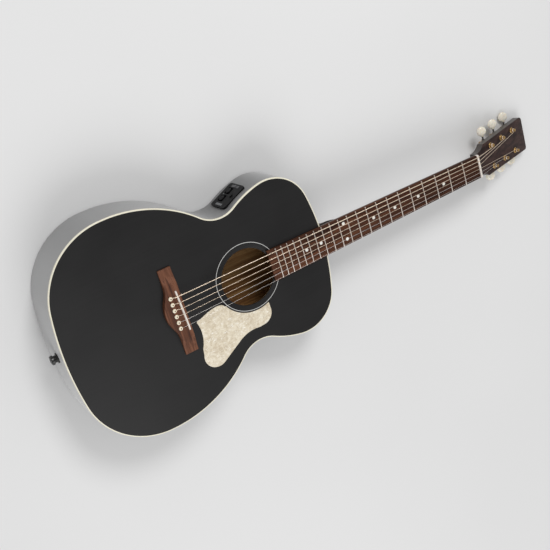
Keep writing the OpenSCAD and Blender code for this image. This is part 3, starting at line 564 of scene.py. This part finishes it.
def cut_box(o, mtx, a, b):
    """Cuts a box, in millimetres of the given frame, out of a piece."""
    v = [tuple(mtx @ Vector((x * MM, y * MM, z * MM)))
         for x in (a[0], b[0]) for y in (a[1], b[1]) for z in (a[2], b[2])]
    me = bpy.data.meshes.new("cutter")
    me.from_pydata(v, [], [(0, 1, 3, 2), (4, 6, 7, 5), (0, 4, 5, 1), (2, 3, 7, 6), (0, 2, 6, 4), (1, 5, 7, 3)])
    c = bpy.data.objects.new("cutter", me)
    bpy.context.collection.objects.link(c)
    mod = o.modifiers.new("cut", "BOOLEAN")
    mod.object, mod.operation, mod.solver = c, "DIFFERENCE", "EXACT"
    bpy.context.view_layer.update()
    done = bpy.data.meshes.new_from_object(o.evaluated_get(bpy.context.evaluated_depsgraph_get()))
    o.modifiers.remove(mod)
    o.data = done
    bpy.data.objects.remove(c)


for o in (side_shell(0, 1.2, "side_skin", M["side"], "side_finish", ["bass_side", "treble_side"]),
          side_shell(1.2, SIDE, "side_lining_wood", M["mahogany"], "inner_wood")):
    cut_box(o, PRE, *PRE_CUT)


def end_block(name, d0, d1, w, replaces):
    """Glued block inside one end of the body, from d0 inward to d1, shaped to the sides it joins."""
    rim = [(x, y) for x, y in edge(SIDE + 0.05)
           if abs(x) <= w * MM and min(d0, d1) - 8 <= (NUT_Y - y) / MM <= max(d0, d1) + 8]
    rim.sort(key=lambda q: -q[0] if d0 > d1 else q[0])
    yi = Y(d1)
    plan = rim + [(rim[-1][0], yi), (rim[0][0], yi)]
    put(name, *loft([[(x, y, back_z(y, 3.05)) for x, y in plan], [(x, y, TOP - 3.05 * MM) for x, y in plan]]),
        M["mahogany"], slot="block_wood", replaces=replaces, sharp=30)


end_block("tail_block_wood", TAIL_D, 813.2, 38, ["tail_block"])
end_block("neck_block_wood", JOIN_D, 395.7, 38, ["neck_block"])


def back_loop(o, up):
    """Body edge inset by o mm, `up` mm above the lower face of the back."""
    return [(x, y, back_z(y, up)) for x, y in edge(o)]


# back: a skin with a rounded lower corner, a rim under the sides, bare wood inside
CORNER = 2.6
corner = [back_loop(CORNER * (1 - math.cos(a)), CORNER * (1 - math.sin(a)))
          for a in np.linspace(0.0, math.pi / 2, 6)[1:]]
put("back_skin", *loft([back_loop(0.0, 1.9)] + corner + [back_loop(10.0, 0.0)]), M["back"],
    slot="side_finish", replaces=["back_plate"])
put("back_rim", *loft([back_loop(0.0, BACK_T), back_loop(0.0, 1.9), back_loop(SIDE - 0.1, 1.9),
                       back_loop(SIDE - 0.1, BACK_T), back_loop(0.0, BACK_T)], cap=(False, False)),
    M["side"], slot="side_finish")
put("back_inside", *loft([back_loop(SIDE, 1.95), back_loop(SIDE, BACK_T)]), M["mahogany"], slot="inner_wood")

# pale ring round the soundhole, let in flush
ring = turned([(58.1, -0.8), (58.1, 0.03), (59.1, 0.03), (59.1, -0.8)], 200, True)
put("hole_ring", *moved(ring, Matrix.Translation((0, HOLE_Y, TOP))), M["ring"], slot="ring_inlay",
    replaces=["rosette"], sharp=60)

# ---------------------------------------------------------------- pickguard
def guard_plan():
    """Pickguard outline: follows the ring, then a wavy tail edge, a round toe and an upper lobe."""
    def placed(pts):
        return [(x * MM, NUT_Y + y * MM) for x, y in pts]

    tail_edge = [(29.2, -558.4), (26.4, -560.6), (24.6, -563.4), (23.4, -567.5), (23.0, -572), (23.3, -578),
                 (24.2, -584), (25.6, -590.5), (27.6, -597), (29.2, -601.5), (30.6, -606), (31.4, -610),
                 (31.8, -612.4)]
    pts = placed(arc(0, -HOLE_D, 61.4, 20.9, -60.3, 40))
    pts += placed(tail_edge) + placed(arc(52.5, -671, 60.4, 108, 62, 16))
    pts += placed(arc(100.8, -599.2, 21.9, -112, 32, 36)) + placed(arc(147, -522, 56.5, 211, 168, 18))
    pts += placed(arc(70.2, -501.6, 21, 0, 98, 22)) + placed([(60.6, -480.9)])
    out = [pts[0]]
    for p in pts[1:]:
        if math.dist(p, out[-1]) > 0.0008:
            out.append(p)
    area = sum(a[0] * b[1] - b[0] * a[1] for a, b in zip(out, out[1:] + out[:1]))
    return out if area > 0 else out[::-1]


put("pearl_pickguard", *slab(guard_plan(), TOP, TOP + 1.0 * MM, 0.45 * MM), M["pearl"], slot="pearl_guard",
    replaces=["pickguard"])

# ---------------------------------------------------------------- bridge, saddle, pins
def belly_d(x):
    """Rear edge of the bridge, with its belly in the middle 100 mm."""
    u = 1 - abs(x) / 50
    if u <= 0:
        return REAR_D
    return REAR_D + 12.8 * (2 * u * u if u < 0.5 else 1 - 2 * (1 - u) ** 2)


def wing_h(x):
    """Bridge height, which falls toward the ends of the wings."""
    t = min(1, max(0, (abs(x) - 44) / 24))
    t = t * t * (3 - 2 * t)
    return BRIDGE_H - (BRIDGE_H - 3.6) * t - 0.25 * max(0, abs(x) - 66) / 10


loops = []
xs = [-76, -75.8, -75.3, -74.6] + list(np.linspace(-73.5, 73.5, 120)) + [74.6, 75.3, 75.8, 76]
for x in xs:
    e = max(0.0, abs(x) - 74.6) / 1.4
    k = 1.0 * (1 - math.sqrt(max(0, 1 - e * e)))
    f, r, h = FRONT_D + k, belly_d(x) - k, wing_h(x) - k
    p = [(f, 0.0), (f, h - 1.1), (f + 0.12, h - 0.55), (f + 0.45, h - 0.15), (f + 1.1, h)]
    p += [(f + 1.1 + (r - f - 2.2) * t, h) for t in np.linspace(0, 1, 10)[1:-1]]
    p += [(r - 1.1, h), (r - 0.45, h - 0.15), (r - 0.12, h - 0.55), (r, h - 1.1), (r, 0.0)]
    loops.append([(x * MM, Y(d), TOP + z * MM) for d, z in p])
put("bridge_wood", *loft(loops), M["bridge"], slot="rosewood", replaces=["bridge"])


def crown(x, r=BOARD_R):
    """Drop of the crowned fingerboard, saddle or nut at x from its middle."""
    return r - math.sqrt(r * r - x * x)


def saddle_y(x):
    return Y(SADDLE_D) + x * MM * math.tan(SADDLE_A)


loops = []
for x in [-35.9, -35.6, -34.9, -34] + list(np.linspace(-33, 33, 40)) + [34, 34.9, 35.6, 35.9]:
    k = max(0, abs(x) - 34) ** 2 * 0.35
    zt = SADDLE_Z - crown(x) - k
    w = 1.5 - 0.1 * k
    p = [(-w, 4), (-w, zt - 0.9), (-w + 0.25, zt - 0.3), (-w + 0.8, zt), (w - 0.8, zt), (w - 0.25, zt - 0.3),
         (w, zt - 0.9), (w, 4)]
    loops.append([(x * MM, saddle_y(x) + a * MM, TOP + z * MM) for a, z in p])
put("saddle_bone", *loft(loops), M["bone"], slot="bone", replaces=["saddle"])

PIN = [(0.01, -12), (2.0, -12), (2.45, 0.0), (3.2, 0.05), (3.55, 0.4), (3.6, 0.9), (3.5, 1.3), (3.1, 1.9),
       (2.4, 2.4), (1.3, 2.66), (0.01, 2.7)]
DOT = [(0.01, 2.4), (1.15, 2.4), (1.15, 2.72), (0.9, 2.78), (0.01, 2.8)]
pins, dots = [], []
for k in range(6):
    x = (2.5 - k) * PIN_STEP
    tx, ty = (random.uniform(-0.05, 0.05) for _ in range(2))    # each pin leans a little
    t = (Matrix.Translation((x * MM, Y(PIN_D), TOP + BRIDGE_H * MM))
         @ Matrix.Rotation(tx, 4, "X") @ Matrix.Rotation(ty, 4, "Y"))
    pins.append(moved(turned(PIN, 32), t))
    dots.append(moved(turned(DOT, 20), t))
put("pin_heads", *join(*pins), M["pin"], slot="pin_cream", replaces=["bridge_pins"])
put("pin_dots", *join(*dots), M["dot_dark"], slot="rosewood")

# ---------------------------------------------------------------- neck
def board_hw(d):
    """Half width of the fingerboard."""
    return (NUT_W + (END_W - NUT_W) * d / BOARD_L) / 2


def neck_section(d, w, t, n=40):
    """Half oval under the fingerboard, 2 w wide and t deep."""
    turns = [math.pi + math.pi * i / n for i in range(n + 1)]
    return [(w * math.cos(a) * MM, Y(d), TOP + t * math.sin(a) * MM) for a in turns]


loops = []
for d in np.linspace(-SEAT / MM, 348.2, 60):
    u = (d + 4.8) / 353
    t = 16 + 3 * u
    loops.append(neck_section(d, board_hw(max(d, 0)), t))
shaft = loft(loops)
loops = []
for q in np.linspace(13.5, 78.0, 46):
    e = max(0.0, (q - 76.4) / 1.6)
    k = 1 - 0.10 * (1 - math.sqrt(max(0, 1 - e * e)))
    l = (21 + 35 * math.exp(-(q - 15) / 14)) * k
    w = (50 - 22 * min(1, max(0, (q - 15) / 63)) ** 0.75) / 2 * k
    pts = [(w, 0.6), (w, l * 0.25)] + [(w * math.cos(a), l * 0.25 + l * 0.75 * math.sin(a)) for a in
                                        np.linspace(0, math.pi, 30)[1:-1]] + [(-w, l * 0.25), (-w, 0.6)]
    loops.append([(x * MM, Y(JOIN_D - y + 0.6 * (x / 25) ** 2 if y < 1 else JOIN_D - y), TOP - q * MM)
                  for x, y in pts])
heel = loft(loops)

HEADM = Matrix.Translation((0, HEAD_Y, FACE_Z)) @ Matrix.Rotation(-HEAD_A, 4, "X")


def head_plan():
    """Headstock outline: a hollow flare from the nut, nearly straight sides, rounded tip corners."""
    w, flare = NUT_W / 2, 34.5
    side = [(w, 0.0)] + arc(w + flare, 6.5, flare, 180, 137, 14) + [(30.9, 31.5)]
    side += [(30.9 + 2.3 * t, 31.5 + 139.5 * t) for t in (0.25, 0.5, 0.75, 0.9)]
    side += arc(33.2 - 6, 165, 6, 0, 90, 10)
    pts = side + [(-x, y) for x, y in side[::-1]]
    return [(x * MM, y * MM) for x, y in pts]


head = moved(slab(head_plan(), -HEAD_T, -VENEER, 0, 1.2 * MM), HEADM)
put("neck_wood", *join(shaft, heel, head), M["neck"], slot="neck_wood", replaces=["neck"], sharp=50)
put("head_face", *moved(slab(head_plan(), -VENEER, 0, 0.5 * MM), HEADM), M["veneer"], slot="head_wood",
    replaces=["headstock_veneer"])

# fingerboard with rounded long edges
loops = []
for d in [0, 0.3, 1] + list(np.linspace(4, 455, 50)) + [458, 458.7, BOARD_L]:
    k = 0.35 * max(0, (d - 458)) ** 2
    w = board_hw(d)

    def face_z(x):
        return BOARD_T - crown(x) - k

    p = [(-w, 0), (-w, face_z(w) - 0.9), (-w + 0.25, face_z(w) - 0.25), (-w + 0.9, face_z(w - 0.9))]
    p += [(x, face_z(x)) for x in np.linspace(-w + 0.9, w - 0.9, 15)[1:-1]]
    p += [(w - 0.9, face_z(w - 0.9)), (w - 0.25, face_z(w) - 0.25), (w, face_z(w) - 0.9), (w, 0)]
    loops.append([(x * MM, Y(d), TOP + z * MM) for x, z in p])
put("finger_board", *loft(loops), M["board"], slot="rosewood", replaces=["fretboard"])


def fret_d(n):
    """Distance of fret n from the nut."""
    return SCALE_LEN * (1 - 2 ** (-n / 12))


bars = []
for n in range(1, 22):
    w = board_hw(fret_d(n)) - 0.25
    loops = []
    for x in [-w, -w + 0.25, -w + 0.7] + list(np.linspace(-w + 1.2, w - 1.2, 16)) + [w - 0.7, w - 0.25, w]:
        e = min(1.0, (w - abs(x)) / 0.9)
        h = FRET_H * math.sqrt(max(0.02, 1 - (1 - e) ** 2))
        base = BOARD_T - crown(x)
        loops.append([(x * MM, Y(fret_d(n) + 1.0 * math.cos(a)), TOP + (base - 0.15 + (h + 0.15) * math.sin(a)) * MM)
                      for a in np.linspace(0, math.pi, 9)])
    bars.append(loft(loops))
put("fret_wires", *join(*bars), M["fret"], slot="fret_metal", replaces=["frets"], sharp=60)

discs = []
for n, x in ((3, 0), (5, 0), (7, 0), (9, 0), (12, -14.5), (12, 14.5), (15, 0), (17, 0)):
    d = (fret_d(n) + fret_d(n - 1)) / 2
    t = (Matrix.Translation((x * MM, Y(d), TOP + (BOARD_T - crown(x)) * MM))
         @ Matrix.Rotation(math.asin(x / BOARD_R), 4, "Y"))
    discs.append(moved(turned([(0.01, -1.0), (3.0, -1.0), (3.0, 0.0), (2.9, 0.03), (0.01, 0.04)], 36), t))
put("board_dots", *join(*discs), M["inlay"], slot="dot_inlay", replaces=["inlays"])

# nut: rounded back, string slots cut as shallow notches
nut_x = [(2.5 - k) * NUT_STEP for k in range(6)]
slot_edges = [x + s * (r + e) for x, r in zip(nut_x, R_STR) for s in (-1, 1) for e in (0.0, 0.12)]
xs = sorted(set(list(np.linspace(-NUT_W / 2, NUT_W / 2, 30)) + slot_edges + nut_x))
loops = []
for x in xs:
    zt = NUT_Z + 0.7 - crown(x)
    end = max(0, abs(x) - 21.2)
    zt -= end * end * 1.2
    for q, r in zip(nut_x, R_STR):
        if abs(x - q) <= r + 0.01:
            zt = NUT_Z - crown(q) + (r - math.sqrt(max(0, r * r - (x - q) ** 2))) - 0.02
    p = [(0, 0), (0, zt - 0.3), (0.25, zt), (2.6, zt - 0.05), (3.9, zt - 0.7), (4.6, zt - 2.0),
         (4.8, zt - 3.2), (4.8, 0)]
    loops.append([(x * MM, NUT_Y + a * MM, TOP + z * MM) for a, z in p])
put("nut_bone", *loft(loops), M["bone"], slot="bone", replaces=["nut"], sharp=55)

# ---------------------------------------------------------------- tuners
def t_side(n):
    """1 for the treble row, -1 for the bass row."""
    return 1 if n <= 3 else -1


def t_place(n):
    """Place of tuner n in its row, 0 next to the nut."""
    return n - 1 if n <= 3 else 6 - n


def tuner_m(n):
    """Frame of tuner n: origin on the headstock face, z along its post."""
    return HEADM @ Matrix.Translation((t_side(n) * POST_X * MM, (POST_S + t_place(n) * PITCH) * MM, 0))


def head_pt(x, s, u):
    return tuple(HEADM @ Vector((x * MM, s * MM, u * MM)))


def string_look(n):
    """Material and slot of string n: two plain, four wound."""
    return (M["string"], "plain_string") if n <= 2 else (M["wound"][n - 3], "wound_string")


def gear(teeth=15, steps=8):
    """Worm wheel on the post."""
    loops = []
    for zz in (WORM_Z - 2.0, WORM_Z - 1.7, WORM_Z + 1.7, WORM_Z + 2.0):
        r_in, r_out = (6.9, 7.8) if abs(zz - WORM_Z) > 1.9 else (7.1, 8.15)
        lp = []
        for i in range(teeth * steps):
            ph = (i % steps) / steps
            k = 1 if 0.2 < ph < 0.55 else (0.5 if 0.1 < ph < 0.65 else 0)
            r = r_in + (r_out - r_in) * k
            a = 2 * math.pi * i / (teeth * steps)
            lp.append((r * MM * math.cos(a), r * MM * math.sin(a), zz * MM))
        loops.append(lp)
    return loft(loops)


def post():
    """Waisted string post with its gear and gear screw."""
    body = turned([(0.01, WORM_Z - 2.6), (3.0, WORM_Z - 2.6), (3.0, 1.6), (3.0, 3.4), (2.75, 3.8), (2.4, 4.6),
                   (2.35, 5.4), (2.6, 6.3), (3.0, 6.9), (3.0, 7.9), (2.75, 8.3), (2.3, 8.4), (0.01, 8.4)], 40)
    screw = turned([(0.01, WORM_Z - 3.6), (1.9, WORM_Z - 3.6), (2.5, WORM_Z - 3.0), (2.5, WORM_Z - 2.0),
                    (0.01, WORM_Z - 2.0)], 28)
    return join(body, gear(), screw)


def wrap_z(n):
    """Height at which string n meets its post."""
    r = R_STR[n - 1]
    return min(6.6 - r, 4.75 + 2.1 * r * WRAPS[n - 1] / 2)


def wrap(n):
    """Tight coil of string n running down the waist of its post."""
    r, turns, sd = R_STR[n - 1], WRAPS[n - 1], t_side(n)
    pitch = 2.1 * r
    m = int(turns * 22)
    a_in = math.pi if sd > 0 else 0.0
    rr = 2.45 + r + 0.05
    pts = []
    for i in range(m + 1):
        t = i / m
        a = a_in + (1 if sd > 0 else -1) * 2 * math.pi * turns * t
        z = wrap_z(n) - pitch * turns * t
        pts.append((rr * MM * math.cos(a), rr * MM * math.sin(a), max(1.9 + r, z) * MM))
    return tube(pts, r * MM, 10)


def worm(lead=2.0, turns=4.6, steps=24):
    """Worm shaft with a true helical thread."""
    shaft = turned(rounded([(0.01, -9.4), (2.4, -9.4), (2.4, -7.6), (1.6, -7.6), (1.6, -5.4), (2.0, -5.4), (2.0, 5.4),
                            (1.6, 5.4), (1.6, 7.2), (2.4, 7.2), (2.4, 8.8), (1.6, 8.8), (1.6, 18.0), (0.01, 18.0)],
                           0.2, 3), 32)
    thread = []
    for i in range(int(turns * steps) + 1):
        a = 2 * math.pi * i / steps
        z = -turns * lead / 2 + lead * i / steps
        f = min(1, i / 8, (turns * steps - i) / 8)
        ro = 2.0 + 0.66 * max(0.05, f)
        thread.append([(rr * MM * math.cos(a), rr * MM * math.sin(a), (z + dz) * MM) for rr, dz in
                       ((1.8, -0.55), (ro, -0.22), (ro, 0.22), (1.8, 0.55))])
    return join(shaft, loft(thread))


# along the button: place, half width, half thickness
BUTTON = [(-9.9, 2.5, 2.5), (-9.4, 2.9, 2.9), (-8.6, 3.0, 2.9), (-8.2, 3.4, 3.0), (-7.6, 5.0, 3.3), (-6.2, 7.2, 3.7),
          (-4.0, 8.9, 4.0), (-0.8, 9.7, 4.15), (2.4, 9.4, 4.05), (5.2, 8.1, 3.75), (7.4, 5.9, 3.1), (8.6, 3.8, 2.4),
          (9.3, 1.8, 1.2), (9.5, 0.3, 0.3)]


def button():
    """Flattened oval with a waisted stem."""
    at, wide, thick = zip(*BUTTON)
    c0 = BUTTON_C - POST_X
    loops = []
    for z in np.linspace(-9.9, 9.5, 38):
        a, b = np.interp(z, at, wide), np.interp(z, at, thick)
        loops.append([((b * math.copysign(abs(math.cos(q)) ** 0.85, math.cos(q))) * MM,
                       (a * math.copysign(abs(math.sin(q)) ** 0.9, math.sin(q))) * MM, (c0 + z) * MM)
                      for q in np.linspace(0, 2 * math.pi, 41)[:-1]])
    return loft(loops)


for n in range(1, 7):
    tm, sd = tuner_m(n), t_side(n)
    wm = tm @ Matrix.Translation((0, WORM_S * MM, WORM_Z * MM)) @ Matrix.Rotation(sd * math.pi / 2, 4, "Y")
    bm = wm @ Matrix.Rotation(sd * math.radians(BUTTON_TURN), 4, "Z")
    mat, slot = string_look(n)
    put("post_%d" % n, *moved(post(), tm), M["brass"], "post_%d" % n, "tuner_brass", ["tuner_%d_post" % n], 50)
    put("post_wrap_%d" % n, *moved(wrap(n), tm), mat, "post_%d" % n, slot)
    put("worm_%d" % n, *moved(worm(), wm), M["shaft"], "key_%d" % n, "shaft_metal", ["tuner_%d_worm" % n], 45)
    put("button_%d" % n, *moved(button(), bm), M["button"], "key_%d" % n, "pin_cream",
        ["tuner_%d_button" % n], 60)

BUSHING = [(3.06, -6.5), (4.4, -6.5), (4.4, 0.0), (5.6, 0.0), (5.6, 0.6), (4.9, 1.2), (4.3, 1.7), (3.06, 1.7),
           (3.06, -6.5)]
bush = [moved(turned(rounded(BUSHING, 0.25, 3), 44), tuner_m(n)) for n in range(1, 7)]
put("post_bushings", *join(*bush), M["brass"], slot="tuner_brass", replaces=["tuner_bushings"])

# ---------------------------------------------------------------- strings
for n in range(1, 7):
    k, r, sd = n - 1, R_STR[n - 1], t_side(n)
    px, sx, nx = (2.5 - k) * PIN_STEP, (2.5 - k) * STRING_STEP, nut_x[k]
    zs = SADDLE_Z - crown(sx) + r
    zn = NUT_Z - crown(nx) + r
    sy = saddle_y(sx)
    # out of the pin hole, over the saddle, straight to the nut, then down to the post
    pts = [(px * MM, Y(PIN_D) + dy * MM, TOP + z * MM) for dy, z in ((3.0, 6.5), (3.35, 8.3), (4.4, 9.2))]
    pts += [(sx * MM, sy - 1.7 * MM, TOP + (zs - 0.25) * MM), (sx * MM, sy - 0.6 * MM, TOP + zs * MM),
            (sx * MM, sy + 0.8 * MM, TOP + zs * MM)]
    a, b = Vector(pts[-1]), Vector((nx * MM, NUT_Y, TOP + zn * MM))
    pts += [tuple(a.lerp(b, t)) for t in np.linspace(0, 1, 24)[1:]]
    pts += [(nx * MM, NUT_Y + 2.6 * MM, TOP + (zn - 0.05) * MM), (nx * MM, NUT_Y + 4.2 * MM, TOP + (zn - 0.5) * MM)]
    pts.append(head_pt(sd * (POST_X - 2.5 - r), POST_S + t_place(n) * PITCH, wrap_z(n)))
    mat, slot = string_look(n)
    put("string_run_%d" % n, *tube(pts, r * MM, 12), mat, slot=slot, replaces=["string_%d" % n], sharp=80)

# ---------------------------------------------------------------- CAD nodes that keep their shape
# the braces take the spruce darkened as painted shade
FINISH = {"spruce_y": ["linings"], "shaded_spruce": ["top_braces", "back_braces"], "mahogany": ["bridge_plate"],
          "steel": ["truss_rod", "neck_bolts", "endpin_nut"], "brass": ["tuner_plates", "tuner_screws"],
          "jack": ["endpin_jack"], "inner_black": ["preamp_housing"], "bezel": ["preamp_bezel"],
          "window": ["preamp_display"], "knob": ["volume_knob", "tone_knob", "push_button"],
          "tray": ["battery_tray"]}
for key, nodes in FINISH.items():
    for node in nodes:
        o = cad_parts[node]
        o.data.materials.clear()
        o.data.materials.append(M[key])

# ---------------------------------------------------------------- floor, light, camera
def floor():
    """Tilted plane that the guitar rests on with its tail edge and its last tuner buttons."""
    half, gap = 4.5, 0.0003
    v = [(x, y, (y - TAIL_Y) * FLOOR_SLOPE - gap) for x in (-half, half) for y in (-half, half)]
    me = bpy.data.meshes.new("floor")
    me.from_pydata(v, [], [(0, 1, 3, 2)])
    o = bpy.data.objects.new("floor", me)
    bpy.context.collection.objects.link(o)
    m = Mat("paper_floor", Roughness=0.9, Specular_IOR_Level=0.2)
    m.set(Base_Color=m.ramp(m.noise(m.co, 1.2, 2.0, 0.5), [(0.3, (0.70, 0.70, 0.70)), (0.7, (0.73, 0.73, 0.73))]))
    me.materials.append(m.m)


floor()


def area(name, loc, target, size, power):
    """Round soft light aimed at a target."""
    d = bpy.data.lights.new(name, "AREA")
    d.shape, d.size, d.energy = "DISK", size, power
    o = bpy.data.objects.new(name, d)
    o.location = loc
    o.rotation_euler = (Vector(target) - Vector(loc)).to_track_quat("-Z", "Y").to_euler()
    bpy.context.collection.objects.link(o)


area("key", (-2.2, 0.3, 2.45), (0, 0, 0), 1.2, 46)
area("fill", (2.0, -0.8, 2.3), (0.2, 0, 0), 2.4, 36)
world = bpy.data.worlds.new("studio")
world.use_nodes = True
sky = world.node_tree.nodes["Background"].inputs
sky["Color"].default_value = (1.0, 1.0, 1.0, 1)
sky["Strength"].default_value = 0.53
bpy.context.scene.world = world
bpy.context.scene.view_settings.view_transform = "Standard"

# camera above the bass side of the tail, its top edge turned toward the bass side
CAM_AT = Vector((-0.57082, NUT_Y - 1.06156, TOP + 1.39515))
CAM_RIGHT = Vector((0.27352, 0.83455, 0.47825))
CAM_VIEW = Vector((0.36113, 0.37173, -0.85522))
cam = bpy.data.cameras.new("camera")
cam.sensor_width = 36
cam.lens = 63.22
cam.clip_start, cam.clip_end = 0.01, 50
co = bpy.data.objects.new("camera", cam)
bpy.context.collection.objects.link(co)
cam_up = CAM_RIGHT.cross(CAM_VIEW).normalized()
turn = Matrix((CAM_RIGHT, cam_up, -CAM_VIEW)).transposed().to_4x4()
co.matrix_world = Matrix.Translation(CAM_AT) @ turn
bpy.context.scene.camera = co
